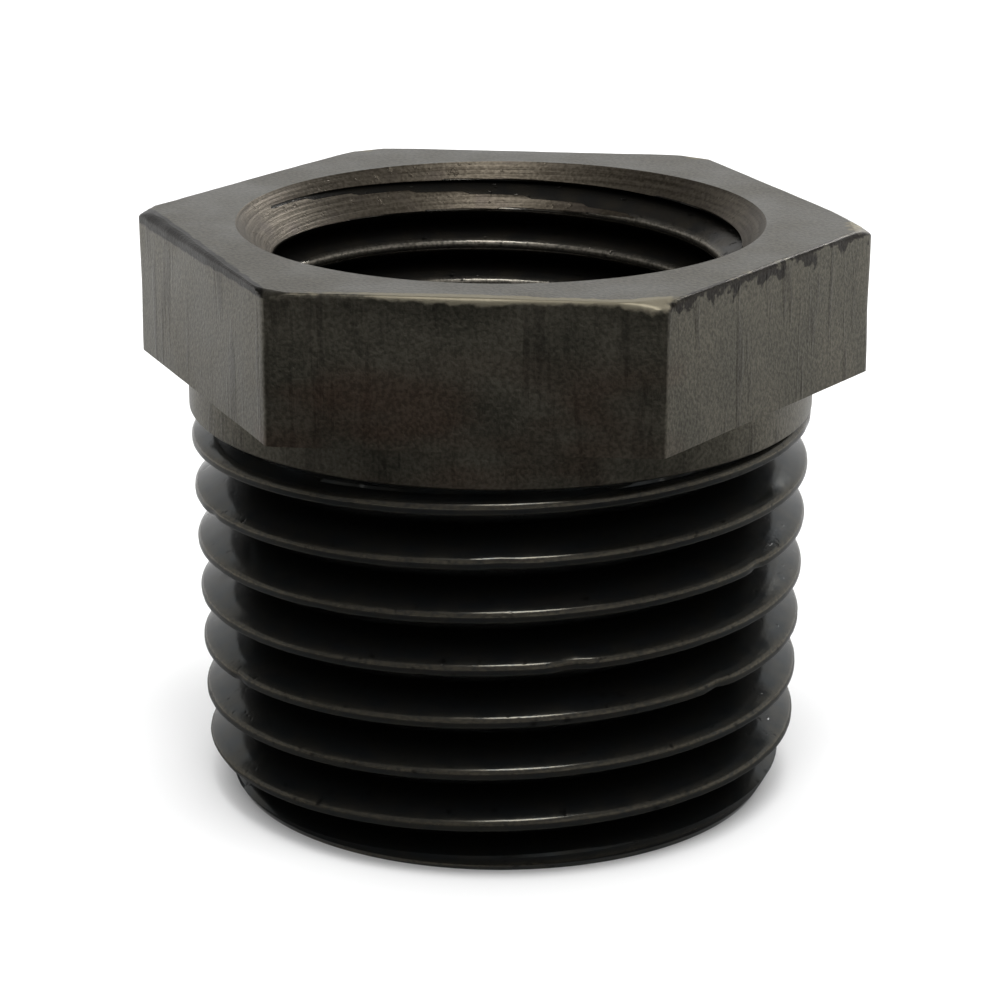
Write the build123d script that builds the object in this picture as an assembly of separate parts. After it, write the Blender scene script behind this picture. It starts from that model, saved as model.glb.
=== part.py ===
"""Hex bushing in forged steel: 1/2-14 NPT outside, 3/8-18 NPT inside.

One solid, in millimetres. +Z is up, along the axis of both threads. The origin is the
centre of the small end, which screws into the larger fitting. A corner of the hexagon
points along +X.
"""
import os
from math import atan, ceil, cos, degrees, radians, tan

from build123d import *

# Overall form
OVERALL_LENGTH = 19.7
HEX_ACROSS_FLATS = 21.5
HEX_HEIGHT = 4.95
HEX_CORNER_TRIM = 0.35  # how far the turned top chamfer cuts each corner back
HEX_TRIM_ANGLE = 35.0  # of that chamfer, down from the top face
COLLAR_DIAMETER = 21.2
COLLAR_HEIGHT = 1.25

# Form of both pipe threads
NPT_TAPER = 1 / 16  # on the diameter
FLANK_ANGLE = 30.0  # from a plane square to the axis

# Outside thread, 1/2-14 NPT, from the small end up to the collar
MALE_PITCH = 25.4 / 14
MALE_PITCH_DIAMETER = 19.264  # at the small end
MALE_CREST_FLAT = 0.30
MALE_ROOT_FLAT = 0.0  # a sharp root
MALE_ROOT_HEIGHT = 1.467  # of a root above the small end, on the +X side
DIE_FACE_STEP = 0.2  # depth of the step where the die's front face stopped at the collar
DIE_LEAD_ANGLE = 45.0  # of the cone that its shallow first teeth leave, from the axis
SMALL_END_DIAMETER = 18.5  # inside the lead chamfer
LEAD_CHAMFER_ANGLE = 30.0  # from the axis

# Inside thread, 3/8-18 NPT, from the top face down
FEMALE_PITCH = 25.4 / 18
FEMALE_PITCH_DIAMETER = 15.926  # at the top face
FEMALE_CREST_FLAT = 0.20
FEMALE_ROOT_FLAT = 0.0  # a sharp root
FEMALE_ROOT_DEPTH = 1.035  # of a root below the top face, on the +X side
FEMALE_THREAD_DEPTH = 10.8  # as far as the tap's shallow first teeth reach
TAP_LEAD_ANGLE = 25.0  # of the cone that those teeth leave, from the axis
COUNTERSINK_DIAMETER = 17.8
COUNTERSINK_ANGLE = 45.0  # from the axis
DRILL_DIAMETER = 14.3
DRILL_CHAMFER = 0.4

OVERSHOOT = 0.6  # how far a tool runs clear of the surface that it cuts
SPARE_TURNS = 2  # thread built past each end, to be cut off square

# Worked out from the sizes above
RADIAL_TAPER = NPT_TAPER / 2
TAPER_ANGLE = degrees(atan(RADIAL_TAPER))
FLANK_SLOPE = tan(radians(FLANK_ANGLE))
HEX_BOTTOM = OVERALL_LENGTH - HEX_HEIGHT
COLLAR_BOTTOM = HEX_BOTTOM - COLLAR_HEIGHT


def reach(pitch, flat):
    """How far a crest or a root with that flat lies from the thread's pitch line."""
    return (pitch / 2 - flat) / (2 * FLANK_SLOPE)


MALE_CREST = reach(MALE_PITCH, MALE_CREST_FLAT)
MALE_ROOT = reach(MALE_PITCH, MALE_ROOT_FLAT)
FEMALE_CREST = reach(FEMALE_PITCH, FEMALE_CREST_FLAT)
FEMALE_ROOT = reach(FEMALE_PITCH, FEMALE_ROOT_FLAT)


def male_pitch_radius(z):
    return MALE_PITCH_DIAMETER / 2 + z * RADIAL_TAPER


def female_pitch_radius(z):
    return FEMALE_PITCH_DIAMETER / 2 - (OVERALL_LENGTH - z) * RADIAL_TAPER


def turned(*points):
    """The solid that a lathe leaves from (radius, height) points, closed along the axis."""
    outline = Polyline(*[(radius, 0, z) for radius, z in points], close=True)
    return revolve(make_face(outline), Axis.Z, 360)


def tooth(groove_z, pitch, pitch_radius, inner, outer):
    """One turn's (radius, height) corners on the +X side, up from the middle of the groove.

    inner and outer are each a (distance from the pitch line, flat) pair. A flat of 0 is sharp.
    """
    inward, inner_flat = inner
    outward, outer_flat = outer
    crest_z = groove_z + pitch / 2
    ends = {
        (groove_z - inner_flat / 2, -inward),
        (groove_z + inner_flat / 2, -inward),
        (crest_z - outer_flat / 2, outward),
        (crest_z + outer_flat / 2, outward),
    }
    return [(pitch_radius(z) + offset, z) for z, offset in sorted(ends)]


def threaded_rod(pitch, corners, turns):
    """A solid rod with a right-hand taper thread, built one turn of each face at a time."""
    slant_pitch = pitch / cos(radians(TAPER_ANGLE))
    climb = [(turn * pitch * RADIAL_TAPER, turn * pitch) for turn in range(turns + 1)]
    starts = [(radius + out, z + up) for out, up in climb for radius, z in corners]
    starts = starts[: turns * len(corners) + 1]
    helices = [
        Edge.make_helix(slant_pitch, pitch, radius, (0, 0, z), (0, 0, 1), TAPER_ANGLE)
        for radius, z in starts
    ]
    faces = [Face.make_surface_from_curves(low, high) for low, high in zip(helices, helices[1:])]
    for edges, end in ((helices[: len(corners) + 1], 0), (helices[-len(corners) - 1 :], 1)):
        rim = [edge @ end for edge in edges]
        faces.append(Face(Wire.make_polygon([(0, 0, rim[0].Z), *rim, (0, 0, rim[-1].Z)])))
    for helix in (helices[0], helices[-1]):
        spine = Edge.make_line((0, 0, (helix @ 0).Z), (0, 0, (helix @ 1).Z))
        faces.append(Face.make_surface_from_curves(spine, helix))
    return Solid(Shell(faces))


def male_rod():
    """The outside thread, long enough to be cut square below the small end and above the collar."""
    start = MALE_ROOT_HEIGHT - ceil(MALE_ROOT_HEIGHT / MALE_PITCH + SPARE_TURNS) * MALE_PITCH
    turns = ceil((COLLAR_BOTTOM - start) / MALE_PITCH) + SPARE_TURNS
    inner = (MALE_ROOT, MALE_ROOT_FLAT)
    outer = (MALE_CREST, MALE_CREST_FLAT)
    corners = tooth(start, MALE_PITCH, male_pitch_radius, inner, outer)
    return threaded_rod(MALE_PITCH, corners, turns)


def male_shank():
    """The outside thread between its lead chamfer and the cone that fades it out at the collar."""
    end = SMALL_END_DIAMETER / 2
    clear = COLLAR_DIAMETER / 2 + OVERSHOOT
    envelope = turned(
        (0, 0),
        (end, 0),
        (clear, (clear - end) / tan(radians(LEAD_CHAMFER_ANGLE))),
        (clear, COLLAR_BOTTOM),
        (0, COLLAR_BOTTOM),
    )
    fade_top = male_pitch_radius(COLLAR_BOTTOM) + MALE_CREST - DIE_FACE_STEP
    fade_bottom = male_pitch_radius(0) - MALE_ROOT
    fade_start = COLLAR_BOTTOM - (fade_top - fade_bottom) / tan(radians(DIE_LEAD_ANGLE))
    fade = turned((0, fade_start), (fade_bottom, fade_start), (fade_top, COLLAR_BOTTOM), (0, COLLAR_BOTTOM))
    return (male_rod() & envelope) + fade


def collar():
    radius = COLLAR_DIAMETER / 2
    return turned((0, COLLAR_BOTTOM), (radius, COLLAR_BOTTOM), (radius, HEX_BOTTOM), (0, HEX_BOTTOM))


def hexagon():
    """The spanner hexagon, its top corners trimmed by one turned chamfer."""
    prism = extrude(RegularPolygon(HEX_ACROSS_FLATS / 2, 6, major_radius=False), HEX_HEIGHT)
    corner = HEX_ACROSS_FLATS / 2 / cos(radians(30))
    clear = corner + OVERSHOOT
    fall = (HEX_CORNER_TRIM + OVERSHOOT) * tan(radians(HEX_TRIM_ANGLE))
    envelope = turned(
        (0, HEX_BOTTOM),
        (clear, HEX_BOTTOM),
        (clear, OVERALL_LENGTH - fall),
        (corner - HEX_CORNER_TRIM, OVERALL_LENGTH),
        (0, OVERALL_LENGTH),
    )
    return Pos(Z=HEX_BOTTOM) * prism & envelope


def tap():
    """The inside thread as the tap that cuts it, with the lead cone of its first teeth."""
    drill = DRILL_DIAMETER / 2
    deep_end = OVERALL_LENGTH - FEMALE_THREAD_DEPTH
    crest_depth = FEMALE_ROOT_DEPTH + FEMALE_PITCH / 2
    turns_down = ceil(FEMALE_THREAD_DEPTH / FEMALE_PITCH + SPARE_TURNS)
    start = OVERALL_LENGTH - crest_depth - turns_down * FEMALE_PITCH
    turns = ceil((OVERALL_LENGTH - start) / FEMALE_PITCH) + SPARE_TURNS
    inner = (FEMALE_CREST, FEMALE_CREST_FLAT)
    outer = (FEMALE_ROOT, FEMALE_ROOT_FLAT)
    corners = tooth(start, FEMALE_PITCH, female_pitch_radius, inner, outer)
    lead = tan(radians(TAP_LEAD_ANGLE))
    clear = female_pitch_radius(OVERALL_LENGTH) + FEMALE_ROOT + OVERSHOOT
    envelope = turned(
        (0, deep_end - OVERSHOOT),
        (drill - OVERSHOOT * lead, deep_end - OVERSHOOT),
        (clear, deep_end + (clear - drill) / lead),
        (clear, OVERALL_LENGTH + OVERSHOOT),
        (0, OVERALL_LENGTH + OVERSHOOT),
    )
    return threaded_rod(FEMALE_PITCH, corners, turns) & envelope


def drill():
    """The plain passage, with a small chamfer where it opens at the small end."""
    radius = DRILL_DIAMETER / 2
    return turned(
        (0, -OVERSHOOT),
        (radius + DRILL_CHAMFER + OVERSHOOT, -OVERSHOOT),
        (radius, DRILL_CHAMFER),
        (radius, HEX_BOTTOM),
        (0, HEX_BOTTOM),
    )


def countersink():
    """The cone that opens the inside thread at the top face."""
    rim = COUNTERSINK_DIAMETER / 2
    slope = tan(radians(COUNTERSINK_ANGLE))
    return turned(
        (0, OVERALL_LENGTH - rim / slope),
        (rim + OVERSHOOT * slope, OVERALL_LENGTH + OVERSHOOT),
        (0, OVERALL_LENGTH + OVERSHOOT),
    )


def hex_bushing():
    body = male_shank() + collar() + hexagon()
    return body - drill() - tap() - countersink()


os.makedirs("parts", exist_ok=True)
export_step(hex_bushing(), "parts/hex_bushing.step")
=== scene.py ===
"""A forged steel hex bushing, black oxide and oiled, standing on its small end on a white table."""
import math
import bmesh
import bpy
from mathutils import Matrix, Vector, noise


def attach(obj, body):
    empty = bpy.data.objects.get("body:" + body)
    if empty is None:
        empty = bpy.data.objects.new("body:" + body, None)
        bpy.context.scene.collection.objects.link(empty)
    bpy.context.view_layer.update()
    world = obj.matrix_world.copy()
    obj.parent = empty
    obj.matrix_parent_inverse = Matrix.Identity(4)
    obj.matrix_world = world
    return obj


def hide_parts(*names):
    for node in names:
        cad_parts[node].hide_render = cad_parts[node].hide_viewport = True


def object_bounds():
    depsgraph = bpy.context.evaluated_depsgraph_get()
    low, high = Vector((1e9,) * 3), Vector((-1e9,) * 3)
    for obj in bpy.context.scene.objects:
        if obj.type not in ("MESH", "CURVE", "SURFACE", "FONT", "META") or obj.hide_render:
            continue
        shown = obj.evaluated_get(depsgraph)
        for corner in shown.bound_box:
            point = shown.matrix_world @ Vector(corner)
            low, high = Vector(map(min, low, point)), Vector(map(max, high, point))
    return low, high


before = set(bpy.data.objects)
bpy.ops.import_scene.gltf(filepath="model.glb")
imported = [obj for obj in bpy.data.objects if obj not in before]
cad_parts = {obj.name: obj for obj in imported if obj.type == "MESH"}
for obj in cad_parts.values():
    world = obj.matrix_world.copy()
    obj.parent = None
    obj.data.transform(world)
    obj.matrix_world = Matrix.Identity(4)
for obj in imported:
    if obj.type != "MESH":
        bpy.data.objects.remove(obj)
cad_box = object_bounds()

MM = 0.001  # sizes are in millimetres down to the stage, and the finished mesh is scaled by this

# Overall form
LENGTH = (cad_box[1].z - cad_box[0].z) / MM
HEX_APOTHEM = (cad_box[1].y - cad_box[0].y) / 2 / MM
HEX_BOTTOM = 14.75
COLLAR_RADIUS = 10.6
COLLAR_BOTTOM = 13.5
COLLAR_BREAK = 0.05  # chamfer of the collar's lower edge
CORNER_TRIM = 0.35  # how far the turned chamfer cuts each top corner back
CORNER_TRIM_FALL = math.tan(math.radians(35))
TAPER = 1 / 32  # of a pipe thread's radius
FLANK = math.tan(math.radians(30))

# Outside thread, 1/2-14 NPT
MALE_PITCH = 25.4 / 14
MALE_CREST_RADIUS = 10.157  # at the small end, before the taper
MALE_CREST_FLAT = 0.28
MALE_ROOT_HEIGHT = 1.467  # of a root above the small end, on the +X side
MALE_CREST_ROUND = (0.04, 0.13)  # how far back the crest's lower and upper corners are rounded
MALE_TURNS_BELOW = 3  # turns spun below the root at MALE_ROOT_HEIGHT
MALE_TURNS = 11
SMALL_END_RADIUS = 9.25
LEAD_SLOPE = math.tan(math.radians(30))
FADE_STEP = 0.2  # from the crests in to where the thread has faded out, under the collar

# Inside thread, 3/8-18 NPT
FEMALE_PITCH = 25.4 / 18
FEMALE_CREST_RADIUS = 7.527  # at the top face, before the taper
FEMALE_CREST_FLAT = 0.26
FEMALE_ROOT_DEPTH = 1.035  # of a root below the top face, on the +X side
FEMALE_CREST_ROUND = (0.07, 0.09)
FEMALE_TURNS_BELOW = 9  # turns spun below the root at FEMALE_ROOT_DEPTH
FEMALE_TURNS = 10
FEMALE_END = 8.9  # height where the tap's first teeth stopped
TAP_LEAD_SLOPE = math.tan(math.radians(25))
SINK_RADIUS = 8.9
DRILL_RADIUS = 7.15
DRILL_TOP = FEMALE_END - 0.3
DRILL_MIDDLE = 4.5
DRILL_CHAMFER = 0.4

# How finely the mesh is made
STEPS = 180  # round one turn, so that every corner of the hexagon gets a vertex
FLANK_CUTS = 6
CREST_SEGMENTS = (2, 5)  # in the rounding of the crest's lower and upper corners
HEX_ROWS = 14  # up the hexagon's sides, below the close rows
CLOSE_ROWS = (0.55, 0.44, 0.35, 0.27, 0.2, 0.14, 0.09, 0.05, 0.02, 0.0)  # below the top face
TOP_RINGS = (0.06, 0.12, 0.3)  # each one's width, from the top edge inwards
SHARP_EDGE = math.radians(28)

# Hexagon's edges. Angles are in degrees from +X, and the hexagon's corners are at the multiples of 60.
CORNER_ROUND = {-120: 0.35}  # radius of an upright edge that is softer than the rest
CORNER_ROUND_ELSEWHERE = 0.18
CORNER_CROWDING = 1.8  # how strongly the columns of faces crowd towards each upright edge
EDGE_BREAK = 0.09  # radius of the hexagon's top edge where it is least worn
EDGE_RIPPLES = 11  # cells of unevenness in that radius, per radian round the hexagon
EDGE_RIPPLE = 0.45  # of EDGE_BREAK, up or down
WEAR_RIPPLE = 0.3  # of the extra radius that wear adds, up or down
BARE_REACH = 0.2  # below the top face, to which rubbed metal reaches at least
BARE_REACH_GROWTH = 1.5  # further, as a multiple of the edge's radius
EDGE_WEAR = (  # middle, half width and extra radius of each stretch where the top edge is worn further
    (-60, 7, 0.20),
    (0, 12, 0.26),
    (-172, 42, 0.20),
    (-92, 16, 0.05),
    (-28, 20, 0.10),
    (60, 8, 0.10),
    (120, 8, 0.14),
)
BARE_EDGE = (  # middle, half width and strength of each stretch where the top edge is rubbed to bare metal
    (-88, 42, 1.0),
    (-62, 10, 0.5),
    (-40, 14, 0.35),
    (0, 9, 0.5),
    (60, 8, 0.5),
    (120, 8, 0.5),
)
FORGED_WAVE = 0.05  # depth of the hollows in the hexagon's sides
FORGED_WAVE_FADE = 0.6  # below the top face, over which the hollows die away
HOLLOWS_ROUND = 4  # cells per radian round the hexagon
HOLLOWS_UP = 0.5  # cells per millimetre up it

# Wear on the threads
CREST_WEAR_REACH = 0.12  # of a flank's depth, down from the crest, where it is still rubbed
LOWER_CORNER = 0.1  # of a crest's width, from its lower corner up, that is rubbed evenly
LOWER_CORNER_WEAR = 0.4
UPPER_WEAR_START = 0.5  # of a crest's width, above which it is rubbed again
UPPER_WEAR_SPAN = 0.2  # of a crest's width, over which that grows to full
PITTING = 0.03  # depth of the light pits all over the outside thread
PIT_CELLS = 1.7  # per millimetre
PIT_THRESHOLD = 0.1  # of the noise, under which there is no pit
THREAD_INNER = SMALL_END_RADIUS - 0.6  # radius inside which nothing belongs to the outside thread
SMALL_END_MARGIN = 0.05  # above the small end, kept free of pits and nicks
DENTS = (  # angle, height, half width and depth of each nick
    (-66, 12.0, 0.45, 0.16),
    (-84, 10.9, 0.5, 0.10),
    (-71, 7.35, 0.6, 0.18),
    (-98, 6.9, 0.4, 0.10),
    (-118, 8.6, 0.35, 0.14),
    (-150, 10.4, 0.4, 0.15),
    (-161, 8.0, 0.45, 0.18),
    (-142, 5.1, 0.4, 0.13),
    (-40, 5.6, 0.5, 0.16),
    (-30, 9.3, 0.4, 0.14),
    (25, 6.4, 0.5, 0.16),
    (80, 9.1, 0.5, 0.18),
    (130, 4.2, 0.5, 0.15),
)

# Sizes of the patterns in the finishes
SCALE_GRAIN = 0.12  # taken to be finer in life, and drawn this coarse so that it shows
RAGGED_EDGE = 0.35
CHIP = 0.7
STREAK = 0.5
STREAK_STRETCH = 10
MOTTLE = 2.6
STAIN = 3.4
OIL_PIT = 0.3
THREAD_DIRT = 0.9
SINK_DIRT = 1.2
TOOL_RING = 0.1
SCALE_RELIEF = 0.012
RING_RELIEF = 0.024

# Settings that nodes share
PLUS = {"operation": "ADD"}
MINUS = {"operation": "SUBTRACT"}
TIMES = {"operation": "MULTIPLY"}
TIMES_PLUS = {"operation": "MULTIPLY_ADD"}
ALONG = {"operation": "DOT_PRODUCT"}
SMOOTH = {"interpolation_type": "SMOOTHSTEP"}
OVER = {"data_type": "RGBA"}
MULTIPLIED = {"data_type": "RGBA", "blend_type": "MULTIPLY"}


def linear(hex_colour):
    """The linear RGBA of an sRGB hex colour."""
    channels = [int(hex_colour[i : i + 2], 16) / 255 for i in (1, 3, 5)]
    return [c / 12.92 if c <= 0.04045 else ((c + 0.055) / 1.055) ** 2.4 for c in channels] + [1.0]


def add(tree, kind, settings=None, **inputs):
    """Add a node, set its properties, and fill its inputs.

    An input is named as Blender names it with _ for a space, or as i and its number. It is filled with a
    value, a socket, or a node, of which the first working output is meant.
    """
    node = tree.nodes.new(kind)
    for name, value in (settings or {}).items():
        setattr(node, name, value)
    for name, value in inputs.items():
        key = int(name[1:]) if name[0] == "i" else name.replace("_", " ")
        if isinstance(value, bpy.types.Node):
            value = next(output for output in value.outputs if output.enabled)
        if isinstance(value, bpy.types.NodeSocket):
            tree.links.new(value, node.inputs[key])
        else:
            node.inputs[key].default_value = value
    return node


# ---------------------------------------------------------------- mesh


def tooth_height(pitch, flat):
    """From a crest with that flat down to a sharp root."""
    return (pitch - flat) / (2 * FLANK)


def move_radius(vert, radius):
    """Put a vertex at that distance from the axis, on its own side and height."""
    now = math.hypot(vert.co.x, vert.co.y)
    vert.co.x *= radius / now
    vert.co.y *= radius / now


def thread(pitch, root, crest, flat, rounds, first_z, turns):
    """The open mesh of a right-hand thread before its taper: one tooth's profile spun up a helix.

    Its vertices know how far they are sunk towards the root, and how worn they are, which is most on the
    crest's upper part.
    """
    bm = bmesh.new()
    worn = bm.verts.layers.float.new("worn")
    sunk = bm.verts.layers.float.new("sunk")
    lower = pitch / 2 - flat / 2
    upper = pitch / 2 + flat / 2
    profile = ((root, 0), (crest, lower), (crest, upper), (root, pitch))
    verts = [bm.verts.new((radius, 0, first_z + z)) for radius, z in profile]
    for pair in zip(verts, verts[1:]):
        bm.edges.new(pair)
    for corner, offset, segments in zip(verts[1:3], rounds, CREST_SEGMENTS):
        bmesh.ops.bevel(
            bm,
            geom=[corner],
            affect="VERTICES",
            offset=offset,
            offset_type="OFFSET",
            segments=segments,
            profile=0.5,
            material=-1,
        )
    long_edges = [edge for edge in bm.edges if edge.calc_length() > pitch / 4]
    bmesh.ops.subdivide_edges(bm, edges=long_edges, cuts=FLANK_CUTS)
    for vert in bm.verts:
        vert[sunk] = min(1, abs(crest - vert.co.x) / abs(crest - root))
        across = (vert.co.z - first_z - lower) / (upper - lower)
        on_crest = max(0.0, 1 - vert[sunk] / CREST_WEAR_REACH)
        upper_wear = min(1.0, max(0.0, (across - UPPER_WEAR_START) / UPPER_WEAR_SPAN))
        vert[worn] = on_crest * (LOWER_CORNER_WEAR if across < LOWER_CORNER else upper_wear)
    bmesh.ops.spin(
        bm,
        geom=bm.verts[:] + bm.edges[:],
        cent=(0, 0, 0),
        axis=(0, 0, 1),
        dvec=(0, 0, pitch / STEPS),
        angle=math.tau,
        steps=STEPS,
        use_merge=False,
        use_normal_flip=False,
        use_duplicate=False,
    )
    one_turn = bm.verts[:] + bm.edges[:] + bm.faces[:]
    for turn in range(1, turns):
        copy = bmesh.ops.duplicate(bm, geom=one_turn)["geom"]
        verts = [g for g in copy if isinstance(g, bmesh.types.BMVert)]
        bmesh.ops.translate(bm, vec=(0, 0, turn * pitch), verts=verts)
    bmesh.ops.remove_doubles(bm, verts=bm.verts, dist=1e-4)
    return bm


def trim(bm, height, keep_above):
    """Cut the open mesh square at that height and keep what is above or below."""
    bmesh.ops.bisect_plane(
        bm,
        geom=bm.verts[:] + bm.edges[:] + bm.faces[:],
        dist=1e-5,
        plane_co=(0, 0, height),
        plane_no=(0, 0, 1),
        clear_inner=keep_above,
        clear_outer=not keep_above,
    )


def rim_at(bm, height):
    """The open edges at that height."""
    return [e for e in bm.edges if e.is_boundary and all(abs(v.co.z - height) < 1e-4 for v in e.verts)]


def carry(bm, rim, place):
    """Extrude an open rim once, put each new vertex where place says, and return the new rim."""
    new = bmesh.ops.extrude_edge_only(bm, edges=rim)["geom"]
    for vert in [g for g in new if isinstance(g, bmesh.types.BMVert)]:
        place(vert)
    return [g for g in new if isinstance(g, bmesh.types.BMEdge) and g.is_boundary]


def ring(radius, z):
    """A place function for a turned ring."""

    def place(vert):
        move_radius(vert, radius)
        vert.co.z = z

    return place


def inward(step):
    """A place function that draws a rim in towards the axis by that much, on the same level."""

    def place(vert):
        move_radius(vert, math.hypot(vert.co.x, vert.co.y) - step)

    return place


def hump(angle, middle, half_width):
    """A smooth hump, 1 high, round an angle in degrees."""
    away = abs((angle - middle + 180) % 360 - 180) / half_width
    return (1 - away * away) ** 2 if away < 1 else 0.0


def edge_radius(angle):
    """The radius that wear has left on the hexagon's top edge, at that angle in degrees."""
    worn = sum(extra * hump(angle, middle, width) for middle, width, extra in EDGE_WEAR)
    turned = math.radians(angle)
    uneven = noise.noise(Vector((math.cos(turned), math.sin(turned), 0.3)) * EDGE_RIPPLES)
    return EDGE_BREAK * (1 + EDGE_RIPPLE * uneven) + worn * (1 + WEAR_RIPPLE * uneven)


def hexagon(z, crowding=1.0):
    """A place function for the hexagon's outline at that height, with rounded corners and a worn top edge."""

    def place(vert):
        angle = math.degrees(math.atan2(vert.co.y, vert.co.x))
        corner = 60 * round(angle / 60)
        away = (angle - corner) / 30
        away = math.copysign(30 * abs(away) ** crowding, away)
        tip = HEX_APOTHEM / math.cos(math.pi / 6)
        soft = CORNER_ROUND.get(corner, CORNER_ROUND_ELSEWHERE)
        middle = tip - soft / math.cos(math.pi / 6)
        turned = math.radians(abs(away))
        if turned < math.atan2(soft / 2, middle + soft * math.cos(math.pi / 6)):
            radius = middle * math.cos(turned) + math.sqrt(soft**2 - (middle * math.sin(turned)) ** 2)
        else:
            radius = HEX_APOTHEM / math.cos(math.pi / 6 - turned)
        radius = min(radius, tip - CORNER_TRIM + (LENGTH - z) / CORNER_TRIM_FALL)
        here = math.radians(corner + away)
        round_x = math.cos(here) * HOLLOWS_ROUND
        round_y = math.sin(here) * HOLLOWS_ROUND
        hollow = noise.noise(Vector((round_x, round_y, z * HOLLOWS_UP)))
        radius -= FORGED_WAVE * (0.5 + 0.5 * hollow) * min(1, (LENGTH - z) / FORGED_WAVE_FADE)
        edge = edge_radius(corner + away)
        above = max(0, z - (LENGTH - edge))
        radius -= edge - math.sqrt(max(0, edge**2 - above**2))
        vert.co = (radius * math.cos(here), radius * math.sin(here), z)

    return place


def outside_thread():
    """The open mesh of the outside thread, from its lead chamfer to its fade under the collar."""
    crest = MALE_CREST_RADIUS
    root = crest - tooth_height(MALE_PITCH, MALE_CREST_FLAT)
    first = MALE_ROOT_HEIGHT - MALE_TURNS_BELOW * MALE_PITCH
    bm = thread(MALE_PITCH, root, crest, MALE_CREST_FLAT, MALE_CREST_ROUND, first, MALE_TURNS)
    fade_top = crest + COLLAR_BOTTOM * TAPER - FADE_STEP
    for vert in bm.verts:
        z = vert.co.z
        radius = math.hypot(vert.co.x, vert.co.y) + z * TAPER
        radius = min(radius, SMALL_END_RADIUS + max(z, -1) * LEAD_SLOPE)
        radius = max(radius, fade_top - (COLLAR_BOTTOM - z))
        move_radius(vert, radius)
    trim(bm, 0, True)
    trim(bm, COLLAR_BOTTOM, False)
    return bm


def add_head(bm):
    """Carry the thread's upper rim out to the collar and up the hexagon to its top face."""
    rim = rim_at(bm, COLLAR_BOTTOM)
    before = set(bm.faces)
    for radius, z in (
        (COLLAR_RADIUS - COLLAR_BREAK, COLLAR_BOTTOM),
        (COLLAR_RADIUS, COLLAR_BOTTOM + COLLAR_BREAK),
        (COLLAR_RADIUS, (COLLAR_BOTTOM + HEX_BOTTOM) / 2),
        (COLLAR_RADIUS, HEX_BOTTOM),
    ):
        rim = carry(bm, rim, ring(radius, z))
    rim = carry(bm, rim, hexagon(HEX_BOTTOM, CORNER_CROWDING))
    plain_height = LENGTH - CLOSE_ROWS[0] - HEX_BOTTOM
    for row in range(1, HEX_ROWS):
        rim = carry(bm, rim, hexagon(HEX_BOTTOM + plain_height * row / HEX_ROWS))
    for fall in CLOSE_ROWS:
        rim = carry(bm, rim, hexagon(LENGTH - fall))
    for step in TOP_RINGS:
        rim = carry(bm, rim, inward(step))
    worn = bm.verts.layers.float["worn"]
    sunk = bm.verts.layers.float["sunk"]
    head = set(bm.faces) - before
    for vert in {v for face in head for v in face.verts if v.co.z > COLLAR_BOTTOM - 1e-4}:
        angle = math.degrees(math.atan2(vert.co.y, vert.co.x))
        reach_down = BARE_REACH + BARE_REACH_GROWTH * edge_radius(angle)
        bare = min(1, sum(strength * hump(angle, middle, width) for middle, width, strength in BARE_EDGE))
        vert[worn] = bare * max(0.0, 1 - (LENGTH - vert.co.z) / reach_down)
        vert[sunk] = 0.0
    for edge in rim:
        for vert in edge.verts:
            vert[worn] = 0.0
    for face in head:
        face.material_index = 1


def inside_thread():
    """The open mesh of the inside thread, from the countersink's rim down to the drilled passage."""
    crest = FEMALE_CREST_RADIUS
    root = crest + tooth_height(FEMALE_PITCH, FEMALE_CREST_FLAT)
    first = LENGTH - FEMALE_ROOT_DEPTH - FEMALE_TURNS_BELOW * FEMALE_PITCH
    bm = thread(FEMALE_PITCH, root, crest, FEMALE_CREST_FLAT, FEMALE_CREST_ROUND, first, FEMALE_TURNS)
    worn = bm.verts.layers.float["worn"]
    turned = bm.verts.layers.float.new("turned")
    for vert in bm.verts:
        z = vert.co.z
        radius = math.hypot(vert.co.x, vert.co.y) + (z - LENGTH) * TAPER
        radius = min(radius, DRILL_RADIUS + (z - FEMALE_END) * TAP_LEAD_SLOPE)
        sink = SINK_RADIUS - (LENGTH - z)
        vert[turned] = 1.0 if sink > radius else 0.0
        vert[worn] *= 1 - vert[turned]
        move_radius(vert, max(radius, DRILL_RADIUS, sink))
    trim(bm, DRILL_TOP, True)
    trim(bm, LENGTH, False)
    rim = rim_at(bm, DRILL_TOP)
    for radius, z in (
        (DRILL_RADIUS, DRILL_MIDDLE),
        (DRILL_RADIUS, DRILL_CHAMFER),
        (DRILL_RADIUS + DRILL_CHAMFER, 0),
    ):
        rim = carry(bm, rim, ring(radius, z))
    for face in bm.faces:
        face.material_index = 2
    return bm


def dent(vert):
    """Press the outside thread's nicks into a vertex near one, and pit that thread lightly all over."""
    x, y, z = vert.co
    radius = math.hypot(x, y)
    if radius < THREAD_INNER or z > COLLAR_BOTTOM or z < SMALL_END_MARGIN:
        return
    turned = math.atan2(y, x)
    pressed = PITTING * max(0, noise.noise(Vector((x, y, z)) * PIT_CELLS) - PIT_THRESHOLD)
    for angle, height, half_width, depth in DENTS:
        across = (turned - math.radians(angle)) * radius
        away = (across**2 + (z - height) ** 2) / half_width**2
        pressed += depth * math.exp(-2 * away)
    move_radius(vert, radius - pressed)


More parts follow.
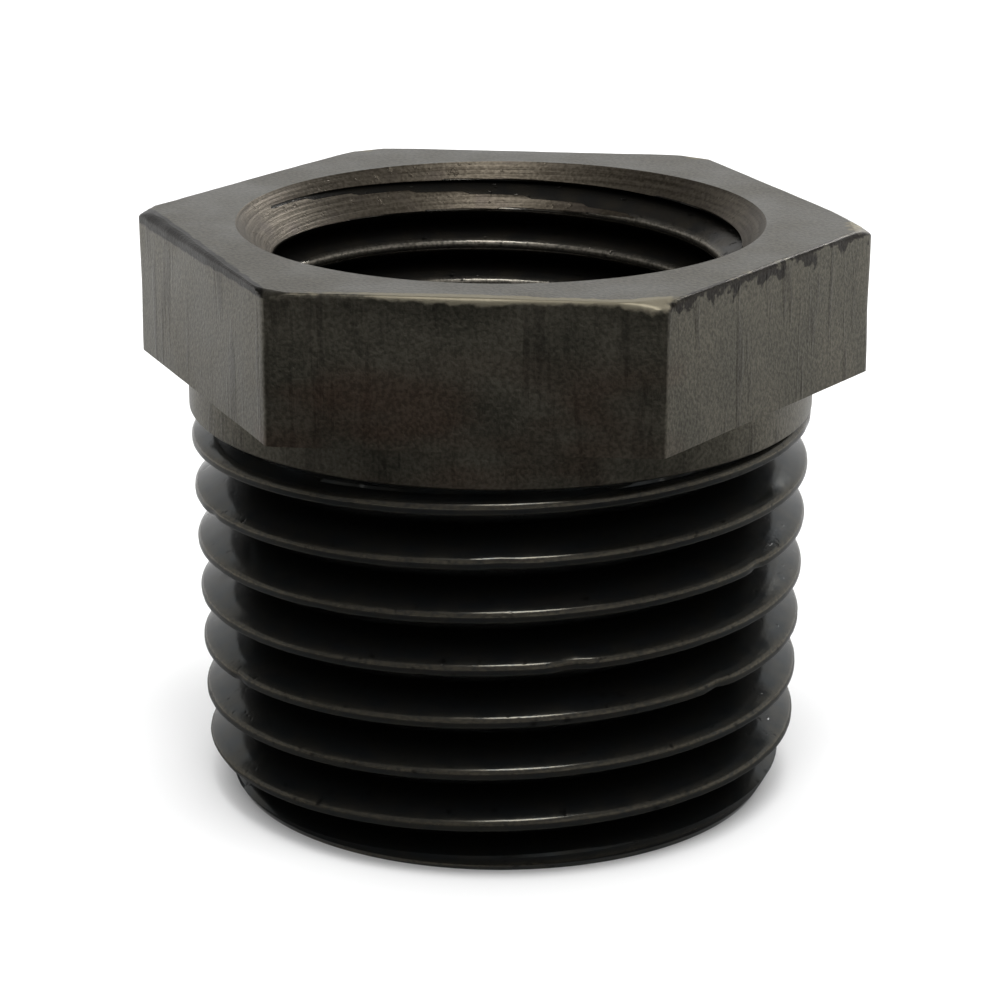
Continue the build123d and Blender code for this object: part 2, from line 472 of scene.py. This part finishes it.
def bushing():
    """One closed mesh: outside thread, head, top face, inside thread, passage and small end."""
    bm = outside_thread()
    add_head(bm)
    inner = inside_thread()
    spare = bpy.data.meshes.new("inside")
    inner.to_mesh(spare)
    inner.free()
    bm.from_mesh(spare)
    bpy.data.meshes.remove(spare)
    for height, slot in ((LENGTH, 1), (0, 0)):
        rims = rim_at(bm, height)
        filled = bmesh.ops.triangle_fill(bm, edges=rims, use_beauty=True, use_dissolve=False)["geom"]
        for face in [g for g in filled if isinstance(g, bmesh.types.BMFace)]:
            face.material_index = slot
    for vert in bm.verts:
        dent(vert)
    bmesh.ops.recalc_face_normals(bm, faces=bm.faces)
    bmesh.ops.scale(bm, vec=(MM, MM, MM), verts=bm.verts)
    mesh = bpy.data.meshes.new("hex_bushing_steel")
    bm.to_mesh(mesh)
    bm.free()
    for polygon in mesh.polygons:
        polygon.use_smooth = True
    mesh.set_sharp_from_angle(angle=SHARP_EDGE)
    for edge in mesh.edges:
        heights = [mesh.vertices[i].co.z / MM for i in edge.vertices]
        if min(heights) > LENGTH - 1e-3 or max(heights) < 1e-3:
            edge.use_edge_sharp = True
    piece = bpy.data.objects.new("hex_bushing_steel", mesh)
    bpy.context.scene.collection.objects.link(piece)
    return piece


# ---------------------------------------------------------------- finishes


def steel(name, colour, roughness):
    """A new metal material: its node tree, its shader, and the piece's coordinates in millimetres."""
    material = bpy.data.materials.new(name)
    material.use_nodes = True
    tree = material.node_tree
    shader = tree.nodes["Principled BSDF"]
    shader.inputs["Base Color"].default_value = linear(colour)
    shader.inputs["Metallic"].default_value = 1.0
    shader.inputs["Roughness"].default_value = roughness
    place = add(tree, "ShaderNodeTexCoord").outputs["Object"]
    place = add(tree, "ShaderNodeVectorMath", {"operation": "SCALE"}, i0=place, Scale=1 / MM)
    return material, tree, shader, place


def finish_shader(tree, shader, colour, rough, skin):
    """Link a finish's colour, roughness and bump nodes to its shader."""
    tree.links.new(colour.outputs[2], shader.inputs["Base Color"])
    tree.links.new(rough.outputs[0], shader.inputs["Roughness"])
    tree.links.new(skin.outputs[0], shader.inputs["Normal"])


def shear_marks(tree, place, height):
    """The upright streaks that trimming the forging left on the hexagon's sides."""
    fall = add(tree, "ShaderNodeVectorMath", TIMES, i0=place, i1=(1, 1, 1 / STREAK_STRETCH))
    shear = add(tree, "ShaderNodeTexNoise", Vector=fall, Scale=1 / STREAK, Detail=4.0)
    streaks = add(tree, "ShaderNodeMapRange", SMOOTH, Value=shear, From_Min=0.54, From_Max=0.66)
    side = add(
        tree, "ShaderNodeMapRange", SMOOTH,
        Value=height, From_Min=LENGTH - 0.02, From_Max=LENGTH - 0.3,
    )
    return add(tree, "ShaderNodeMath", TIMES, i0=streaks, i1=side)


def dried_oil(tree, place, axes):
    """Blotches of dried oil on the lower part of the front side."""
    squat = add(tree, "ShaderNodeVectorMath", TIMES, i0=place, i1=(0.6, 0.6, 1.25))
    blotch = add(tree, "ShaderNodeTexNoise", Vector=squat, Scale=1 / STAIN, Detail=2.0)
    stained = add(tree, "ShaderNodeMapRange", SMOOTH, Value=blotch, From_Min=0.44, From_Max=0.64, To_Max=0.55)
    front = add(tree, "ShaderNodeMapRange", SMOOTH, Value=axes["Y"], From_Min=-9.4, From_Max=-10.4)
    low = add(tree, "ShaderNodeMapRange", SMOOTH, Value=axes["Z"], From_Min=18.4, From_Max=16.4)
    stained = add(tree, "ShaderNodeMath", TIMES, i0=stained, i1=front)
    return add(tree, "ShaderNodeMath", TIMES, i0=stained, i1=low)


def painted_chip_shade(tree, place, height, lump):
    """Painted shade along the right side's top edge, where the trimming broke the metal out: a dark colour
    standing in for the shadow in the broken notches.
    """
    near = add(tree, "ShaderNodeMapRange", Value=height, From_Min=LENGTH - 0.9, From_Max=LENGTH - 0.05)
    broken = add(tree, "ShaderNodeMath", TIMES_PLUS, i0=near, i1=0.36, i2=lump)
    broken = add(tree, "ShaderNodeMapRange", SMOOTH, Value=broken, From_Min=0.73, From_Max=0.79, To_Max=0.88)
    out = add(tree, "ShaderNodeVectorMath", ALONG, i0=place, i1=(0.866, -0.5, 0))
    right = add(tree, "ShaderNodeMapRange", SMOOTH, Value=out, From_Min=10.55, From_Max=10.66)
    return add(tree, "ShaderNodeMath", TIMES, i0=broken, i1=right)


def rolled_edge_shade(tree, place, axes, lump):
    """A dark band painted along the left side's rolled top edge, painted shade where the rounded edge faces
    away from the light, in a band that widens towards the far end.
    """
    out = add(tree, "ShaderNodeVectorMath", ALONG, i0=place, i1=(-0.866, -0.5, 0))
    left = add(tree, "ShaderNodeMapRange", SMOOTH, Value=out, From_Min=10.2, From_Max=10.35, To_Max=0.92)
    widening = add(tree, "ShaderNodeMapRange", Value=axes["X"], From_Min=-6.0, From_Max=-11.0, To_Max=0.26)
    nearer = add(tree, "ShaderNodeMath", PLUS, i0=out, i1=axes["Z"])
    nearer = add(tree, "ShaderNodeMath", PLUS, i0=nearer, i1=widening)
    nearer = add(tree, "ShaderNodeMath", TIMES_PLUS, i0=lump, i1=0.25, i2=nearer)
    nearer = add(tree, "ShaderNodeMath", MINUS, i0=nearer, i1=LENGTH + HEX_APOTHEM)
    band = add(tree, "ShaderNodeMapRange", SMOOTH, Value=nearer, From_Min=-0.12, From_Max=-0.04)
    return add(tree, "ShaderNodeMath", TIMES, i0=band, i1=left)


def black_oxide_hexagon():
    """Forged low-carbon steel with a hot black oxide: satin grey-black, scaly, brown where oil has dried."""
    material, tree, shader, place = steel("black_oxide_hexagon", "#63605a", 0.38)
    worn = add(tree, "ShaderNodeAttribute", {"attribute_name": "worn"}).outputs["Fac"]
    axes = add(tree, "ShaderNodeSeparateXYZ", Vector=place).outputs
    grain = add(tree, "ShaderNodeTexNoise", Vector=place, Scale=1 / SCALE_GRAIN, Detail=5.0)
    ragged = add(tree, "ShaderNodeTexNoise", Vector=place, Scale=1 / RAGGED_EDGE, Detail=5.0)
    lump = add(tree, "ShaderNodeTexNoise", Vector=place, Scale=1 / CHIP, Detail=3.0)
    mottle = add(tree, "ShaderNodeTexNoise", Vector=place, Scale=1 / MOTTLE, Detail=4.0)
    streaks = shear_marks(tree, place, axes["Z"])
    faint_streaks = add(tree, "ShaderNodeMath", TIMES, i0=streaks, i1=0.42)
    stain = dried_oil(tree, place, axes)
    chip_shade = painted_chip_shade(tree, place, axes["Z"], lump)
    oiled = rolled_edge_shade(tree, place, axes, lump)
    speckle = add(
        tree, "ShaderNodeMapRange", SMOOTH,
        Value=grain, From_Min=0.32, From_Max=0.68, To_Min=0.72, To_Max=1.2,
    )
    rubbing = add(tree, "ShaderNodeMath", TIMES_PLUS, i0=ragged, i1=0.9, i2=worn)
    bare = add(tree, "ShaderNodeMapRange", SMOOTH, Value=rubbing, From_Min=0.78, From_Max=1.1)

    browner = add(tree, "ShaderNodeMapRange", SMOOTH, Value=mottle, From_Min=0.35, From_Max=0.65)
    colour = add(tree, "ShaderNodeMix", OVER, i0=browner, i6=linear("#5e5b51"), i7=linear("#6c685d"))
    colour = add(tree, "ShaderNodeMix", OVER, i0=faint_streaks, i6=colour, i7=linear("#3d3934"))
    colour = add(tree, "ShaderNodeMix", OVER, i0=stain, i6=colour, i7=linear("#604a3e"))
    # painted shade: the dark colour of the broken notches along the right side's top edge
    colour = add(tree, "ShaderNodeMix", OVER, i0=chip_shade, i6=colour, i7=linear("#221d1a"))
    # painted shade: a dark band along the left side's rolled top edge
    colour = add(tree, "ShaderNodeMix", OVER, i0=oiled, i6=colour, i7=linear("#1d1916"))
    colour = add(tree, "ShaderNodeMix", MULTIPLIED, i0=1.0, i6=colour, i7=speckle)
    colour = add(tree, "ShaderNodeMix", OVER, i0=bare, i6=colour, i7=linear("#b3ab96"))

    satin = add(
        tree, "ShaderNodeMapRange", SMOOTH,
        Value=mottle, From_Min=0.3, From_Max=0.7, To_Min=0.34, To_Max=0.44,
    )
    rough = add(tree, "ShaderNodeMath", TIMES_PLUS, i0=bare, i1=0.22, i2=satin)
    lumps = add(tree, "ShaderNodeMath", TIMES_PLUS, i0=streaks, i1=0.5, i2=grain)
    skin = add(tree, "ShaderNodeBump", Height=lumps, Distance=SCALE_RELIEF * MM)
    finish_shader(tree, shader, colour, rough, skin)
    return material


def cut_thread(name, clean, dull, rubbed_metal, smooth, relief):
    """A cut thread wet with oil: near black in its roots, partly from oil and partly painted shade, rubbed on
    its crests, pitted here and there.
    """
    material, tree, shader, place = steel(name, clean, smooth)
    shader.inputs["Metallic"].default_value = 0.86  # the rest is the dull film of oil and dust
    shader.inputs["Specular Tint"].default_value = (0.7, 0.7, 0.7, 1)  # black oxide dulls the glancing shine
    worn = add(tree, "ShaderNodeAttribute", {"attribute_name": "worn"}).outputs["Fac"]
    sunk = add(tree, "ShaderNodeAttribute", {"attribute_name": "sunk"}).outputs["Fac"]
    grain = add(tree, "ShaderNodeTexNoise", Vector=place, Scale=1 / SCALE_GRAIN, Detail=5.0)
    hole = add(tree, "ShaderNodeTexNoise", Vector=place, Scale=1 / OIL_PIT, Detail=2.0)
    pits = add(tree, "ShaderNodeMapRange", SMOOTH, Value=hole, From_Min=0.36, From_Max=0.27)
    squat = add(tree, "ShaderNodeVectorMath", TIMES, i0=place, i1=(1, 1, 1.7))
    dirt = add(tree, "ShaderNodeTexNoise", Vector=squat, Scale=1 / THREAD_DIRT, Detail=4.0)

    duller = add(tree, "ShaderNodeMapRange", SMOOTH, Value=dirt, From_Min=0.35, From_Max=0.65)
    colour = add(tree, "ShaderNodeMix", OVER, i0=duller, i6=linear(clean), i7=linear(dull))
    # darker towards the roots by depth: partly oil, partly painted shade of the deep grooves
    deep = add(tree, "ShaderNodeMath", TIMES_PLUS, i0=dirt, i1=0.3, i2=sunk)
    oil = add(tree, "ShaderNodeMapRange", SMOOTH, Value=deep, From_Min=0.4, From_Max=1.2, To_Max=0.75)
    colour = add(tree, "ShaderNodeMix", OVER, i0=oil, i6=colour, i7=linear("#171613"))
    patchy = add(tree, "ShaderNodeMapRange", SMOOTH, Value=grain, From_Min=0.3, From_Max=0.65, To_Min=0.25)
    rubbed = add(tree, "ShaderNodeMath", TIMES, i0=worn, i1=patchy)
    colour = add(tree, "ShaderNodeMix", OVER, i0=rubbed, i6=colour, i7=linear(rubbed_metal))
    filled = add(tree, "ShaderNodeMath", TIMES, i0=pits, i1=0.7)
    colour = add(tree, "ShaderNodeMix", OVER, i0=filled, i6=colour, i7=linear("#0e0d0c"))

    film = add(
        tree, "ShaderNodeMapRange", SMOOTH,
        Value=dirt, From_Min=0.3, From_Max=0.7, To_Min=smooth - 0.02, To_Max=smooth + 0.05,
    )
    rough = add(tree, "ShaderNodeMath", TIMES_PLUS, i0=worn, i1=0.15, i2=film)
    pitted = add(tree, "ShaderNodeMath", TIMES_PLUS, i0=pits, i1=-1.5, i2=grain)
    skin = add(tree, "ShaderNodeBump", Height=pitted, Distance=relief * MM)
    finish_shader(tree, shader, colour, rough, skin)
    return material, tree, shader, place


def oiled_thread_steel():
    """Die-cut under the black oxide and dipped in oil: cold grey flanks that mirror the room, dull crests."""
    return cut_thread("oiled_thread_steel", "#303334", "#383835", "#5c574c", 0.11, 0.0022)[0]


def oiled_bore_steel():
    """Tapped with the oil still in it, its crests burnished by the tap.

    The countersink above it was turned with a coarse tool and barely blacked, so it is a scaly brown with
    rings about a tenth of a millimetre apart.
    """
    material, tree, shader, place = cut_thread(
        "oiled_bore_steel", "#3f3e3c", "#4a463f", "#a39d91", 0.2, 0.008
    )
    under_colour, under_rough, under_skin = (
        shader.inputs[name].links[0].from_socket for name in ("Base Color", "Roughness", "Normal")
    )
    turned = add(tree, "ShaderNodeAttribute", {"attribute_name": "turned"}).outputs["Fac"]
    turned = add(tree, "ShaderNodeMapRange", SMOOTH, Value=turned, From_Min=0.35, From_Max=0.65)
    grain = add(tree, "ShaderNodeTexNoise", Vector=place, Scale=1 / SCALE_GRAIN, Detail=5.0)
    round_axis = add(tree, "ShaderNodeVectorMath", TIMES, i0=place, i1=(1 / 60, 1 / 60, 1))
    rings = add(tree, "ShaderNodeTexNoise", Vector=round_axis, Scale=1 / TOOL_RING, Detail=2.0)
    dirt = add(tree, "ShaderNodeTexNoise", Vector=place, Scale=1 / SINK_DIRT, Detail=4.0)

    scaly = add(tree, "ShaderNodeMath", PLUS, i0=rings, i1=grain)
    scaly = add(tree, "ShaderNodeMapRange", SMOOTH, Value=scaly, From_Min=0.68, From_Max=1.28)
    scale = add(tree, "ShaderNodeMix", OVER, i0=scaly, i6=linear("#3f3930"), i7=linear("#635c51"))
    dirty = add(tree, "ShaderNodeMapRange", SMOOTH, Value=dirt, From_Min=0.5, From_Max=0.7, To_Max=0.6)
    scale = add(tree, "ShaderNodeMix", OVER, i0=dirty, i6=scale, i7=linear("#4d4640"))
    colour = add(tree, "ShaderNodeMix", OVER, i0=turned, i6=under_colour, i7=scale)
    scaly_rough = add(tree, "ShaderNodeMath", TIMES, i0=turned, i1=0.42)
    rough = add(tree, "ShaderNodeMath", {"operation": "MAXIMUM"}, i0=under_rough, i1=scaly_rough)
    cut_rings = add(tree, "ShaderNodeMath", TIMES, i0=rings, i1=turned)
    skin = add(tree, "ShaderNodeBump", Height=cut_rings, Distance=RING_RELIEF * MM, Normal=under_skin)
    finish_shader(tree, shader, colour, rough, skin)
    return material


# ---------------------------------------------------------------- stage, in metres

CAMERA_DISTANCE = 0.10633
CAMERA_HEIGHT = 0.044674
CAMERA_AZIMUTH = math.radians(6.077)
CAMERA_PITCH = math.radians(18.197)
CAMERA_YAW = math.radians(0.009)
CAMERA_ROLL = math.radians(0.063)
LENS = 116.634  # on a sensor 36 mm wide
LAMP_AIM = 0.011  # height of the point that the lamps face
TABLE_RADIUS = 3.0
CARD_WIDTH = 0.5
CARD_FRONT = 0.185  # how far the card reaches in front of the bushing's axis
CARD_BEHIND = 0.08
CARD_LIFT = 0.0002
CARD_FADE_START = -0.02
PAPER = "#f5f5f5"
CARD = "#343434"
DARK_CEILING = 0.06
RIGHT_CEILING = 0.2
SIDE_WALLS = 0.4
BACK_WALL = 0.58  # more than the side walls
RIGHT_WALL = 0.25  # more than the side walls
DARK_FRONT = 0.02
FRONT_GLOW = 0.22


def paper(name):
    """A new matt material, its node tree and its shader."""
    material = bpy.data.materials.new(name)
    material.use_nodes = True
    shader = material.node_tree.nodes["Principled BSDF"]
    shader.inputs["Roughness"].default_value = 1.0
    return material, material.node_tree, shader


def stage_piece(name, bm, material):
    """Make an object of the stage from a bmesh."""
    mesh = bpy.data.meshes.new(name)
    bm.to_mesh(mesh)
    bm.free()
    mesh.materials.append(material)
    thing = bpy.data.objects.new(name, mesh)
    bpy.context.scene.collection.objects.link(thing)
    return thing


def white_table():
    """The white table that the bushing stands on."""
    material, _, shader = paper("matt_white_paper")
    shader.inputs["Base Color"].default_value = linear(PAPER)
    shader.inputs["Specular IOR Level"].default_value = 0.0
    bm = bmesh.new()
    bmesh.ops.create_circle(bm, cap_ends=True, segments=64, radius=TABLE_RADIUS)
    table = stage_piece("table", bm, material)


def grey_card():
    """A card on the table, seen by reflections only, so that the bushing's front mirrors a dark room."""
    material, tree, shader = paper("grey_card")
    place = add(tree, "ShaderNodeTexCoord").outputs["Object"]
    away = add(tree, "ShaderNodeSeparateXYZ", Vector=place).outputs["Y"]
    fade = add(tree, "ShaderNodeMapRange", Value=away, From_Min=CARD_FADE_START, From_Max=CARD_BEHIND)
    grey = add(tree, "ShaderNodeMix", OVER, i0=fade, i6=linear(CARD), i7=linear(PAPER))
    tree.links.new(grey.outputs[2], shader.inputs["Base Color"])
    bm = bmesh.new()
    bmesh.ops.create_grid(bm, x_segments=1, y_segments=1, size=0.5)
    size = Matrix.Diagonal((CARD_WIDTH, CARD_FRONT + CARD_BEHIND, 1, 1))
    bmesh.ops.transform(bm, matrix=size, verts=bm.verts)
    bmesh.ops.translate(bm, vec=(0, (CARD_BEHIND - CARD_FRONT) / 2, CARD_LIFT), verts=bm.verts)
    bmesh.ops.rotate(bm, cent=(0, 0, 0), matrix=Matrix.Rotation(CAMERA_AZIMUTH, 3, "Z"), verts=bm.verts)
    flag = stage_piece("grey_card", bm, material)
    flag.visible_camera = False
    flag.visible_diffuse = False
    flag.visible_shadow = False


def lamp(name, kind, direction, distance, energy, size):
    """A lamp that far from the bushing's middle, facing it. Its direction has +Y away from the camera."""
    data = bpy.data.lights.new(name, kind)
    data.energy = energy
    if kind == "AREA":
        data.shape = "DISK"
        data.size = size
    else:
        data.angle = size
    thing = bpy.data.objects.new(name, data)
    turned = Matrix.Rotation(CAMERA_AZIMUTH, 3, "Z") @ Vector(direction).normalized()
    thing.location = Vector((0, 0, LAMP_AIM)) + turned * distance
    thing.rotation_euler = turned.to_track_quat("Z", "Y").to_euler()
    bpy.context.scene.collection.objects.link(thing)
    return thing


def lamps():
    """A broad light for the table, a window's glint behind on the right, and a small lamp overhead."""
    table_light = lamp("table_light", "SUN", (0, 0, 1), 0.5, 3.42, math.radians(100))
    table_light.visible_glossy = False
    glint = lamp("window_glint", "AREA", (0.44, 0.742, 0.506), 1.0, 1.5, 0.06)
    glint.visible_diffuse = False
    lamp("ceiling_lamp", "AREA", (0.06, -0.313, 0.951), 0.3, 0.3, 0.11)


def room():
    """The world: pale walls behind and at the sides under a dark ceiling, and a faint glow in front."""
    world = bpy.data.worlds.new("room")
    bpy.context.scene.world = world
    world.use_nodes = True
    tree = world.node_tree
    tree.nodes.clear()
    direction = add(tree, "ShaderNodeTexCoord").outputs["Generated"]
    direction = add(
        tree, "ShaderNodeVectorRotate", {"rotation_type": "Z_AXIS"}, Vector=direction, Angle=-CAMERA_AZIMUTH
    )
    axes = add(tree, "ShaderNodeSeparateXYZ", Vector=direction).outputs

    ceiling = add(
        tree, "ShaderNodeMapRange", SMOOTH,
        Value=axes["X"], From_Min=0.2, From_Max=0.5, To_Min=DARK_CEILING, To_Max=RIGHT_CEILING,
    )
    below_ceiling = add(
        tree, "ShaderNodeMapRange", SMOOTH,
        Value=axes["Z"], From_Min=0.46, From_Max=0.52, To_Min=1.0, To_Max=ceiling,
    )
    sides = add(
        tree, "ShaderNodeMapRange", SMOOTH,
        Value=axes["Y"], From_Min=-0.22, From_Max=-0.08, To_Min=DARK_FRONT, To_Max=SIDE_WALLS,
    )
    behind = add(
        tree, "ShaderNodeMapRange", SMOOTH, Value=axes["Y"], From_Min=0.3, From_Max=0.9, To_Max=BACK_WALL
    )
    right = add(
        tree, "ShaderNodeMapRange", SMOOTH, Value=axes["X"], From_Min=0.12, From_Max=0.3, To_Max=RIGHT_WALL
    )
    walls = add(tree, "ShaderNodeMath", PLUS, i0=sides, i1=behind)
    walls = add(tree, "ShaderNodeMath", PLUS, i0=walls, i1=right)
    walls = add(tree, "ShaderNodeMath", TIMES, i0=below_ceiling, i1=walls)

    front = add(tree, "ShaderNodeMapRange", SMOOTH, Value=axes["Y"], From_Min=-0.1, From_Max=-0.3)
    above_table = add(tree, "ShaderNodeMapRange", SMOOTH, Value=axes["Z"], From_Min=0.0, From_Max=0.3)
    not_overhead = add(tree, "ShaderNodeMapRange", SMOOTH, Value=axes["Z"], From_Min=0.99, From_Max=0.93)
    glow = add(tree, "ShaderNodeMath", TIMES, i0=front, i1=above_table)
    glow = add(tree, "ShaderNodeMath", TIMES, i0=glow, i1=not_overhead)
    light = add(tree, "ShaderNodeMath", TIMES_PLUS, i0=glow, i1=FRONT_GLOW, i2=walls)
    background = add(tree, "ShaderNodeBackground", Color=(1, 1, 1, 1), Strength=light)
    add(tree, "ShaderNodeOutputWorld", Surface=background)


def camera():
    """The camera, in front of the bushing and a little above it."""
    data = bpy.data.cameras.new("camera")
    data.lens = LENS
    data.clip_start = 0.01
    view = bpy.data.objects.new("camera", data)
    across = CAMERA_DISTANCE * math.sin(CAMERA_AZIMUTH)
    back = CAMERA_DISTANCE * math.cos(CAMERA_AZIMUTH)
    view.location = (across, -back, CAMERA_HEIGHT)
    heading = Matrix.Rotation(CAMERA_AZIMUTH + CAMERA_YAW, 3, "Z")
    tilt = Matrix.Rotation(math.pi / 2 - CAMERA_PITCH, 3, "X")
    roll = Matrix.Rotation(CAMERA_ROLL, 3, "Z")
    view.rotation_euler = (heading @ tilt @ roll).to_euler()
    bpy.context.scene.collection.objects.link(view)
    bpy.context.scene.camera = view


piece = bushing()
for material in (oiled_thread_steel(), black_oxide_hexagon(), oiled_bore_steel()):
    piece.data.materials.append(material)
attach(piece, "root")
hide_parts("hex_bushing")
white_table()
grey_card()
lamps()
room()
camera()
bpy.context.scene.view_settings.view_transform = "Standard"
